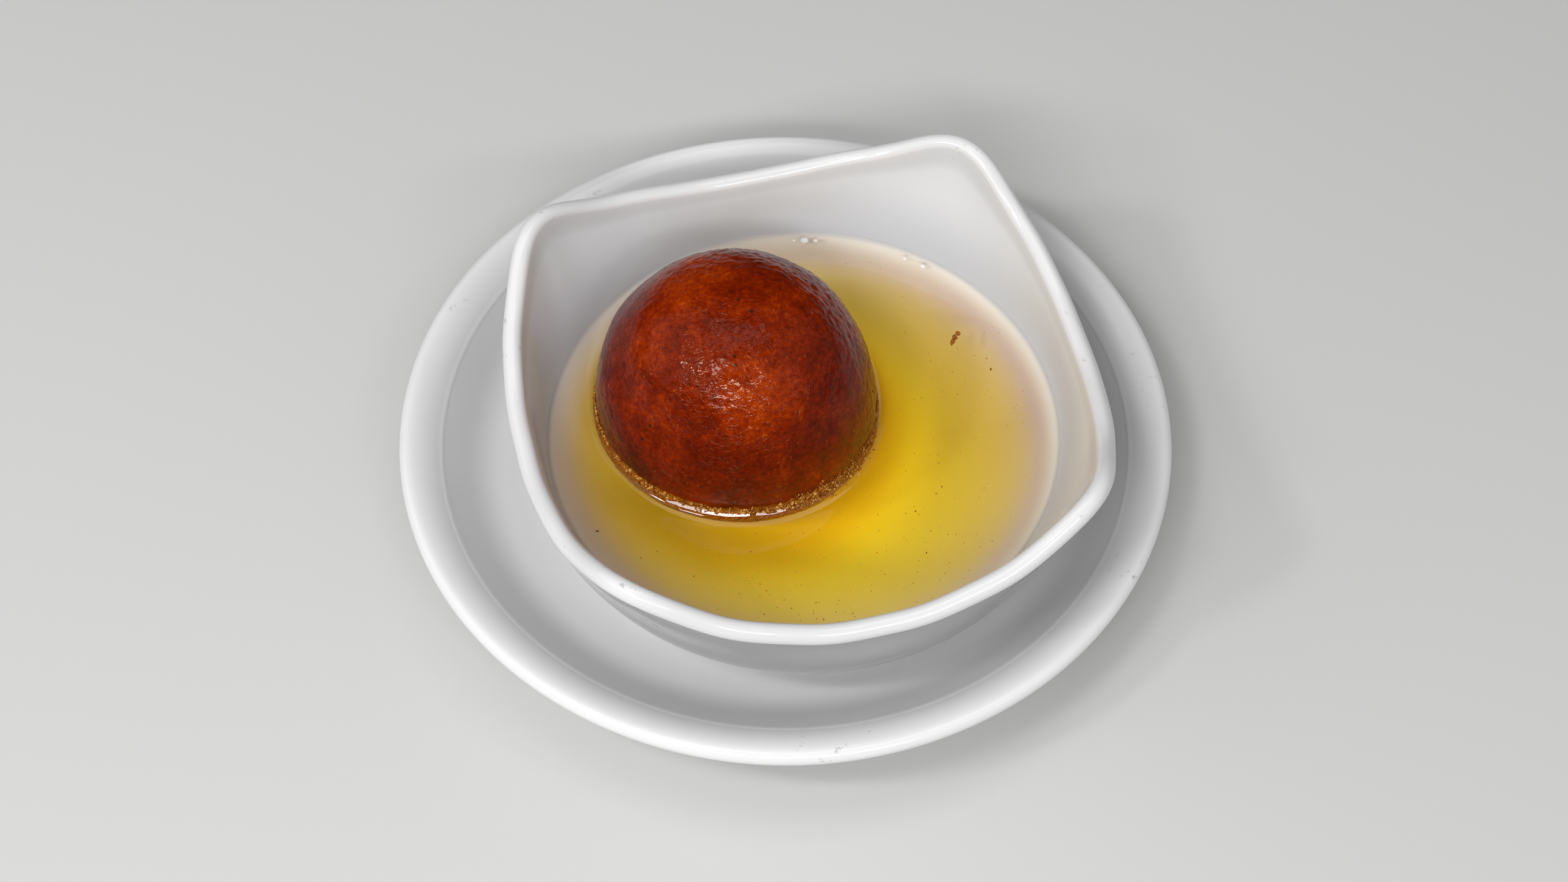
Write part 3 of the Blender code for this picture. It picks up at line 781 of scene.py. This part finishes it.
def build_ball(mat):
    d, faces = cube_sphere(126)
    p = ball_surface(d)
    nrm = p / np.array((BALL_A, BALL_B, BALL_UP)) ** 2
    nrm /= np.linalg.norm(nrm, axis=1)[:, None]
    world = d @ np.array(((math.cos(BALL_TURN), math.sin(BALL_TURN), 0.0),
                          (-math.sin(BALL_TURN), math.cos(BALL_TURN), 0.0), (0.0, 0.0, 1.0)))
    ragged = 0.55 * gradient_noise(p / 7.0 + 60.0) + 0.35 * gradient_noise(p / 3.0 + 66.0)
    crinkle = 0.22 + 0.78 * patches(world, CRINKLED, ragged)
    thin = patches(world, ORANGE, ragged)
    low = smoothstep(0.22, 0.02, d[:, 2])
    dark = np.maximum(patches(world, BROWN, ragged), 0.6 * low)
    calm = np.where(d[:, 2] > -0.2, 1.0, 0.4)
    p = p + nrm * (skin_relief(p, d, crinkle) * calm)[:, None]
    way = np.degrees(np.arctan2(world[:, 1], world[:, 0])) % 360.0
    at, share = zip(*CRUMB_DENSITY)
    wide = 0.9 + 0.45 * np.interp(way, at, share) + 1.2 * gradient_noise(p / 1.7 + 40.0)
    hem = smoothstep(1.0, 0.55, (p[:, 2] + BALL_AT[2] - LEVEL_Z - BALL_RISE) / np.maximum(wide, 0.3))
    ob = make_object("gulab_jamun_skin", p, faces, mat,
                     attrs={"thin": thin, "dark": dark, "crinkle": crinkle, "hem": hem})
    return place(ob, BALL_AT, BALL_TURN)


def ball_radius_at(phi, z):
    """Smooth ball's radius from its own axis at world angle phi, height z (mm)."""
    a = phi - BALL_TURN
    dz = z - BALL_AT[2]
    up = np.maximum(dz, 0.0) / BALL_UP
    down = np.maximum(-dz, 0.0) / BALL_DOWN
    share = np.where(dz > 0, (1 - up ** BALL_FULL) ** (1 / BALL_FULL), np.sqrt(1 - down ** 2))
    return share / np.sqrt((np.cos(a) / BALL_A) ** 2 + (np.sin(a) / BALL_B) ** 2)


# ------------------------------------------------------------------- syrup
def wall_table(z):
    """Radius of the bowl's inside at height z, above the round part, over a full turn."""
    t = np.linspace(-math.pi, math.pi, 721)
    p, out, up = rim_frame(t)
    a0 = math.pi - math.atan(0.30)
    end = p + LIP_R * (math.cos(a0) * out + math.sin(a0) * up)
    r0, m0 = inner_round(BLEND_Z)
    start = circle(r0, BLEND_Z, t)
    length = np.linalg.norm(end - start, axis=1)
    t0 = lean(t, m0, length)
    t1 = (math.sin(a0) * out - math.cos(a0) * up) * length[:, None]
    low, high = np.zeros(len(t)), np.ones(len(t)) * 0.5
    for _ in range(30):
        mid = (low + high) / 2
        q = hermite(start, t0, end, t1, mid[:, None])
        above = q[:, 2] > z
        high, low = np.where(above, mid, high), np.where(above, low, mid)
    return t, np.hypot(q[:, 0], q[:, 1])


_walls = {}


def wall_radius_at(turn, z):
    if z not in _walls:
        _walls[z] = wall_table(z)
    t, r = _walls[z]
    turn = (np.asarray(turn) + math.pi) % (2 * math.pi) - math.pi
    return np.interp(turn, t, r)


def wall_reach(phi, r_wall):
    """Distance from the ball's axis to a circle of radius r_wall about the bowl's."""
    ox, oy = BALL_AT[0] - BOWL_AT[0], BALL_AT[1] - BOWL_AT[1]
    ux, uy = np.cos(phi), np.sin(phi)
    b = ox * ux + oy * uy
    c = ox * ox + oy * oy - r_wall ** 2
    return -b + np.sqrt(b * b - c)


def climb(off):
    """Height of the meniscus over the level, off mm out from the ball."""
    straight = np.maximum(BALL_FLANK - off, 0.0)
    tail = BALL_REACH * np.exp(-np.maximum(off - BALL_FLANK, 0.0) / BALL_REACH)
    return BALL_RISE * (straight + tail) / (BALL_FLANK + BALL_REACH)


def build_syrup(mat):
    n = 360
    phi = np.arange(n) * 2 * math.pi / n
    ux, uy = np.cos(phi), np.sin(phi)
    rings = []

    def ring(dist, z):
        return np.stack([BALL_AT[0] + dist * ux, BALL_AT[1] + dist * uy,
                         np.broadcast_to(z, (n,)).astype(float)], 1)

    floor = BOWL_FLOOR_Z - 0.15
    # underside: just inside the bowl's wall, so nothing shows between them
    for r in (5.0, 12.0, INNER_FLAT_R):
        rings.append(np.stack([BOWL_AT[0] + r * ux, BOWL_AT[1] + r * uy, np.full(n, floor)], 1))
    contact_z = LEVEL_Z + WALL_RISE
    height = SIDE_RIM_Z - BOWL_FLOOR_Z
    last = math.acos((SIDE_RIM_Z - contact_z) / height)
    # the top is laid out from the ball's axis, out to the bowl's wall
    wall = wall_reach(phi, float(np.mean(wall_radius_at(phi, contact_z))))
    for _ in range(4):
        x, y = BALL_AT[0] + wall * ux - BOWL_AT[0], BALL_AT[1] + wall * uy - BOWL_AT[1]
        edge = wall_radius_at(np.arctan2(y, x) - BOWL_TURN, contact_z) + 0.15
        wall = wall + edge - np.hypot(x, y)
    psi = np.arctan2(BALL_AT[1] + wall * uy - BOWL_AT[1], BALL_AT[0] + wall * ux - BOWL_AT[0])
    for k in range(1, 25):
        z = SIDE_RIM_Z - height * math.cos(last * k / 24)
        r = inner_round(z)[0] if z <= BLEND_Z else wall_radius_at(psi - BOWL_TURN, z)
        rings.append(np.stack([BOWL_AT[0] + (r + 0.15) * np.cos(psi),
                               BOWL_AT[1] + (r + 0.15) * np.sin(psi), np.full(n, z - 0.05)], 1))
    near = ball_radius_at(phi, LEVEL_Z + BALL_RISE) - 0.45
    shares = 0.5 - 0.5 * np.cos(np.linspace(0, math.pi, 64))
    shares = 0.35 * shares + 0.65 * np.linspace(0, 1, 64)
    outs = [near + 1.6 + (wall - near - 1.6) * s for s in shares[::-1]]
    for dist in outs + [near + d for d in np.linspace(1.5, 0.0, 16)]:
        x, y = BALL_AT[0] + dist * ux, BALL_AT[1] + dist * uy
        turn = np.arctan2(y - BOWL_AT[1], x - BOWL_AT[0]) - BOWL_TURN
        d_wall = (wall_radius_at(turn, contact_z) + 0.15
                  - np.hypot(x - BOWL_AT[0], y - BOWL_AT[1]))
        d_ball = np.maximum(dist - near - 0.35, 0.0)
        rough = gradient_noise(np.stack([x / 1.6, y / 1.6, np.full(n, 3.3)], 1))
        z = (LEVEL_Z + WALL_RISE * np.exp(-d_wall / WALL_REACH)
             + (1.0 + 0.05 * rough) * climb(d_ball))
        rings.append(np.stack([x, y, z], 1))
    # the hollow, a little inside the ball
    for k in range(1, 14):
        f = k / 14
        z = LEVEL_Z + BALL_RISE - (LEVEL_Z + BALL_RISE - (BALL_AT[2] - BALL_DOWN)) * math.sin(f * math.pi / 2)
        dist = np.maximum(ball_radius_at(phi, z + 0.2) - 0.5, 0.3)
        rings.append(ring(dist, z + 0.4))
    ob = loft("syrup_golden", (BOWL_AT[0], BOWL_AT[1], floor), rings,
              (BALL_AT[0], BALL_AT[1], BALL_AT[2] - BALL_DOWN + 0.4), mat)
    return crisp(ob)


# ----------------------------------------------------- crumbs and flecks
def ico_ball():
    """Unit ball of 42 points and 80 faces."""
    g = (1 + 5 ** 0.5) / 2
    v = [(-1, g, 0), (1, g, 0), (-1, -g, 0), (1, -g, 0), (0, -1, g), (0, 1, g), (0, -1, -g),
         (0, 1, -g), (g, 0, -1), (g, 0, 1), (-g, 0, -1), (-g, 0, 1)]
    f = [(0, 11, 5), (0, 5, 1), (0, 1, 7), (0, 7, 10), (0, 10, 11), (1, 5, 9), (5, 11, 4),
         (11, 10, 2), (10, 7, 6), (7, 1, 8), (3, 9, 4), (3, 4, 2), (3, 2, 6), (3, 6, 8),
         (3, 8, 9), (4, 9, 5), (2, 4, 11), (6, 2, 10), (8, 6, 7), (9, 8, 1)]
    v = [np.array(p) / np.linalg.norm(p) for p in v]
    mid, out = {}, []

    def half(a, b):
        key = (min(a, b), max(a, b))
        if key not in mid:
            q = v[a] + v[b]
            v.append(q / np.linalg.norm(q))
            mid[key] = len(v) - 1
        return mid[key]

    for a, b, c in f:
        ab, bc, ca = half(a, b), half(b, c), half(c, a)
        out += [(a, ab, ca), (b, bc, ab), (c, ca, bc), (ab, bc, ca)]
    return np.array(v), np.array(out)


def lumps_mesh(name, centres, sizes, mat, seed, ragged=0.32):
    """One mesh of many small uneven lumps; sizes are half-axes (mm) per lump."""
    rng = np.random.default_rng(seed)
    ball_v, ball_f = ico_ball()
    verts, faces = [], []
    for k, (c, size) in enumerate(zip(centres, sizes)):
        q = rng.normal(size=(3, 3))
        turn, _ = np.linalg.qr(q)
        bend = 1.0 + ragged * gradient_noise(ball_v * 1.4 + rng.uniform(0, 200, 3)) * 2.0
        pts = (ball_v * bend[:, None] * np.asarray(size)) @ turn.T + np.asarray(c)
        if np.linalg.det(turn) < 0:
            faces.append(ball_f[:, ::-1] + k * len(ball_v))
        else:
            faces.append(ball_f + k * len(ball_v))
        verts.append(pts)
    return make_object(name, np.vstack(verts), np.vstack(faces), mat)


# share of crumbs round the waterline, by world angle in degrees
CRUMB_DENSITY = ((0, 0.9), (20, 0.7), (45, 0.5), (135, 0.5), (180, 0.7), (200, 1.2), (225, 1.9),
                 (245, 1.0), (270, 1.1), (285, 1.3), (300, 2.4), (325, 2.2), (345, 1.2), (360, 0.9))


def build_crumbs(dark, light):
    rng = np.random.default_rng(5)
    at, share = zip(*CRUMB_DENSITY)
    made = {"dark": ([], []), "light": ([], [])}
    while len(made["dark"][0]) + len(made["light"][0]) < 3300:
        deg = rng.uniform(0, 360)
        dense = np.interp(deg, at, share)
        if rng.uniform(0, 2.4) > dense:
            continue
        phi = np.array([math.radians(deg)])
        right = smoothstep(285, 300, deg) * smoothstep(350, 335, deg)
        up = abs(rng.normal(0.0, 0.50 + 0.45 * right))
        off = max(0.0, rng.normal(-0.20, 0.22 + 0.38 * right))
        z = LEVEL_Z + BALL_RISE + up - 0.10
        if off > 0.0:
            z = LEVEL_Z + float(climb(off)) + 0.02
        r = float(ball_radius_at(phi, np.array([z]))[0]) + off + 0.12
        size = float(np.clip(rng.lognormal(-2.05, 0.42), 0.07, 0.36))
        axes = size * rng.uniform(0.7, 1.25, 3)
        c = (BALL_AT[0] + r * math.cos(phi[0]), BALL_AT[1] + r * math.sin(phi[0]), z)
        key = "light" if rng.uniform() < 0.30 else "dark"
        made[key][0].append(c)
        made[key][1].append(axes)
    return (lumps_mesh("crumbs_fried", *made["dark"], dark, 21),
            lumps_mesh("crumbs_pale", *made["light"], light, 22))


# larger flecks floating in the syrup: (bowl radius, angle in degrees, half-axes)
FLECKS = ((36.0, 36.2, (0.62, 0.80, 0.45)), (37.0, 37.2, (0.55, 0.75, 0.42)),
          (38.2, 37.8, (0.50, 0.60, 0.40)), (39.1, 22.0, (0.26, 0.34, 0.14)),
          (28.2, 318.0, (0.20, 0.28, 0.12)), (36.2, 309.0, (0.18, 0.22, 0.12)),
          (29.2, 333.0, (0.17, 0.22, 0.10)), (29.9, 251.0, (0.19, 0.25, 0.12)),
          (45.2, 212.0, (0.22, 0.30, 0.10)), (34.0, 150.0, (0.24, 0.30, 0.12)),
          (40.5, 118.0, (0.20, 0.28, 0.10)))


def build_flecks(mat, fine):
    """Brown flecks at the surface and many tiny specks hanging below it."""
    rng = np.random.default_rng(8)
    centres, sizes = [], []
    for r, deg, axes in FLECKS:
        a = math.radians(deg)
        centres.append((BOWL_AT[0] + r * math.cos(a), BOWL_AT[1] + r * math.sin(a), LEVEL_Z - 0.10))
        sizes.append(axes)
    while len(centres) < 300:
        a, r = rng.uniform(0, 2 * math.pi), 45.0 * math.sqrt(rng.uniform())
        x, y = BOWL_AT[0] + r * math.cos(a), BOWL_AT[1] + r * math.sin(a)
        gap = math.hypot(x - BALL_AT[0], y - BALL_AT[1]) - BALL_A
        keep = 0.35 + 0.65 * max(0.0, math.cos(math.atan2(y - BALL_AT[1], x - BALL_AT[0]) + 0.9))
        if gap < 1.5 or rng.uniform() > keep:
            continue
        wall = 46.0 - r
        z = LEVEL_Z - rng.uniform(0.15, min(9.0, 0.4 + 0.9 * wall))
        size = float(np.clip(rng.lognormal(-2.45, 0.38), 0.05, 0.15))
        centres.append((x, y, z))
        sizes.append(size * rng.uniform(0.7, 1.4, 3))
    k = len(FLECKS)
    return (lumps_mesh("flecks_brown", centres[:k], sizes[:k], mat, 31),
            lumps_mesh("flecks_fine", centres[k:], sizes[k:], fine, 32))


# small domes of air at the wall: (angle in degrees, half width)
BUBBLES = ((90.0, 0.85), (87.2, 0.50), (64.5, 0.45), (59.5, 0.55), (92.5, 0.35))


def build_bubbles(mat):
    ball_v, ball_f = ico_ball()
    verts, faces = [], []
    for k, (deg, wide) in enumerate(BUBBLES):
        a = math.radians(deg)
        r = float(wall_radius_at(np.array([a - BOWL_TURN]), LEVEL_Z + WALL_RISE)[0]) - 2.4
        c = np.array((BOWL_AT[0] + r * math.cos(a), BOWL_AT[1] + r * math.sin(a), LEVEL_Z + 0.05))
        fine_v, fine_f = split(ball_v, ball_f)
        verts.append(fine_v * np.array((wide, wide * 0.9, wide * 0.5)) + c)
        faces.append(fine_f + k * len(fine_v))
    return make_object("bubbles_edge", np.vstack(verts), np.vstack(faces), mat)


def split(v, f):
    """Cut each face in four and push the new points out to the unit ball."""
    v, mid, out = [np.array(p) for p in v], {}, []

    def half(a, b):
        key = (min(a, b), max(a, b))
        if key not in mid:
            q = v[a] + v[b]
            v.append(q / np.linalg.norm(q))
            mid[key] = len(v) - 1
        return mid[key]

    for a, b, c in f:
        ab, bc, ca = half(int(a), int(b)), half(int(b), int(c)), half(int(c), int(a))
        out += [(a, ab, ca), (b, bc, ab), (c, ca, bc), (ab, bc, ca)]
    return np.array(v), np.array(out)


# ------------------------------------------------------------------ camera
def add_camera():
    elev, roll = math.radians(54.20), math.radians(0.48)
    target = Vector((-0.28, 9.49, 0.0)) * MM
    fwd = Vector((0.0, math.cos(elev), -math.sin(elev)))
    up = Vector((0.0, math.sin(elev), math.cos(elev)))
    right = Vector((1.0, 0.0, 0.0))
    r2 = math.cos(roll) * right + math.sin(roll) * up
    u2 = -math.sin(roll) * right + math.cos(roll) * up
    cam = bpy.data.cameras.new("camera")
    cam.lens, cam.sensor_width, cam.sensor_fit = 4500.0 / 2576.0 * 36.0, 36.0, "HORIZONTAL"
    ob = bpy.data.objects.new("camera", cam)
    at = target - fwd * 553.8 * MM
    m = Matrix((r2, u2, -fwd)).transposed().to_4x4()
    m.translation = at
    ob.matrix_world = m
    bpy.context.scene.collection.objects.link(ob)
    bpy.context.scene.camera = ob


def area_light(name, direction, distance, size, size_y, power, colour=(1, 1, 1)):
    d = Vector(direction).normalized()
    data = bpy.data.lights.new(name, "AREA")
    data.shape, data.size, data.size_y = "RECTANGLE", size, size_y
    data.energy, data.color = power, colour
    ob = bpy.data.objects.new(name, data)
    ob.location = d * distance
    ob.rotation_euler = (-d).to_track_quat("-Z", "Y").to_euler()
    bpy.context.scene.collection.objects.link(ob)
    return ob


def add_stage():
    size = 3.0
    mesh = bpy.data.meshes.new("floor")
    k = 8
    g = np.linspace(-size, size, k + 1)
    verts = [(x, y, 0.0) for y in g for x in g]
    faces = [(j * (k + 1) + i, j * (k + 1) + i + 1, (j + 1) * (k + 1) + i + 1, (j + 1) * (k + 1) + i)
             for j in range(k) for i in range(k)]
    mesh.from_pydata(verts, [], faces)
    mesh.materials.append(floor_material())
    ob = bpy.data.objects.new("floor", mesh)
    bpy.context.scene.collection.objects.link(ob)

    world = bpy.data.worlds.new("studio")
    world.use_nodes = True
    bg = world.node_tree.nodes["Background"]
    bg.inputs["Color"].default_value = (1.0, 1.0, 1.0, 1.0)
    bg.inputs["Strength"].default_value = 0.03
    bpy.context.scene.world = world
    # azimuth and elevation (degrees), width and height (m), power (W), all 1.2 m away
    for name, az, el, wide, high, power in (
            ("key_front_left", 229.0, 60.0, 0.21, 0.18, 2.35),
            ("card_front", 259.0, 43.0, 0.52, 0.115, 5.6),
            ("card_left", 230.0, 39.5, 0.36, 0.08, 1.5),
            ("card_right", 291.0, 42.0, 0.36, 0.08, 1.5),
            ("window_left", 208.0, 48.0, 0.13, 0.11, 1.9),
            ("far_left", 178.0, 42.0, 1.20, 1.05, 3.0),
            ("fill_right", 318.0, 45.0, 1.00, 1.00, 1.3),
            ("back_right", 32.0, 58.0, 0.60, 0.60, 0.2),
            ("low_right", 0.0, 32.0, 1.35, 1.10, 1.45),
            ("above_back", 104.0, 84.0, 0.90, 0.50, 2.3)):
        a, e = math.radians(az), math.radians(el)
        way = (math.cos(e) * math.cos(a), math.cos(e) * math.sin(a), math.sin(e))
        area_light(name, way, 1.2, wide, high, power)
    bpy.context.scene.view_settings.view_transform = "Standard"


# -------------------------------------------------------------------- main
def main():
    add_camera()
    add_stage()
    # painted shade: the saucer's wall (0.60) and the bowl's outside (0.41) are painted darker than the white well
    # and lips
    glaze_a = glaze_material("saucer_glaze", (0.60, 0.60, 0.60), (0.79, 0.79, 0.79), 0.0,
                             well_colour=(0.88, 0.88, 0.88))
    glaze_b = glaze_material("bowl_glaze", (0.41, 0.41, 0.41), (0.745, 0.745, 0.745), 17.0, painted_under_syrup=True)
    saucer = build_saucer(glaze_a)
    bowl = build_bowl(glaze_b)
    ball = build_ball(ball_material())
    syrup = build_syrup(syrup_material())
    fried, pale = build_crumbs(crumb_material("crumb_fried", (0.15, 0.028, 0.001), (0.38, 0.125, 0.007)),
                               crumb_material("crumb_pale", (0.44, 0.18, 0.020), (0.66, 0.37, 0.10)))
    flecks, dust = build_flecks(crumb_material("fleck_brown", (0.20, 0.050, 0.004), (0.34, 0.110, 0.012)),
                                crumb_material("fleck_fine", (0.42, 0.19, 0.03), (0.62, 0.34, 0.07)))
    bubbles = build_bubbles(bubble_material())
    for ob, slot in ((fried, "ball"), (pale, "ball"), (flecks, "ball"), (dust, "ball"), (bubbles, "syrup")):
        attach(ob, "root")
    for ob, name, slot in ((saucer, "saucer", "saucer_glaze"), (bowl, "bowl", "bowl_glaze"),
                           (ball, "gulab_jamun", "ball"), (syrup, "syrup", "syrup")):
        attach(ob, "root")
        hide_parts(name)


main()
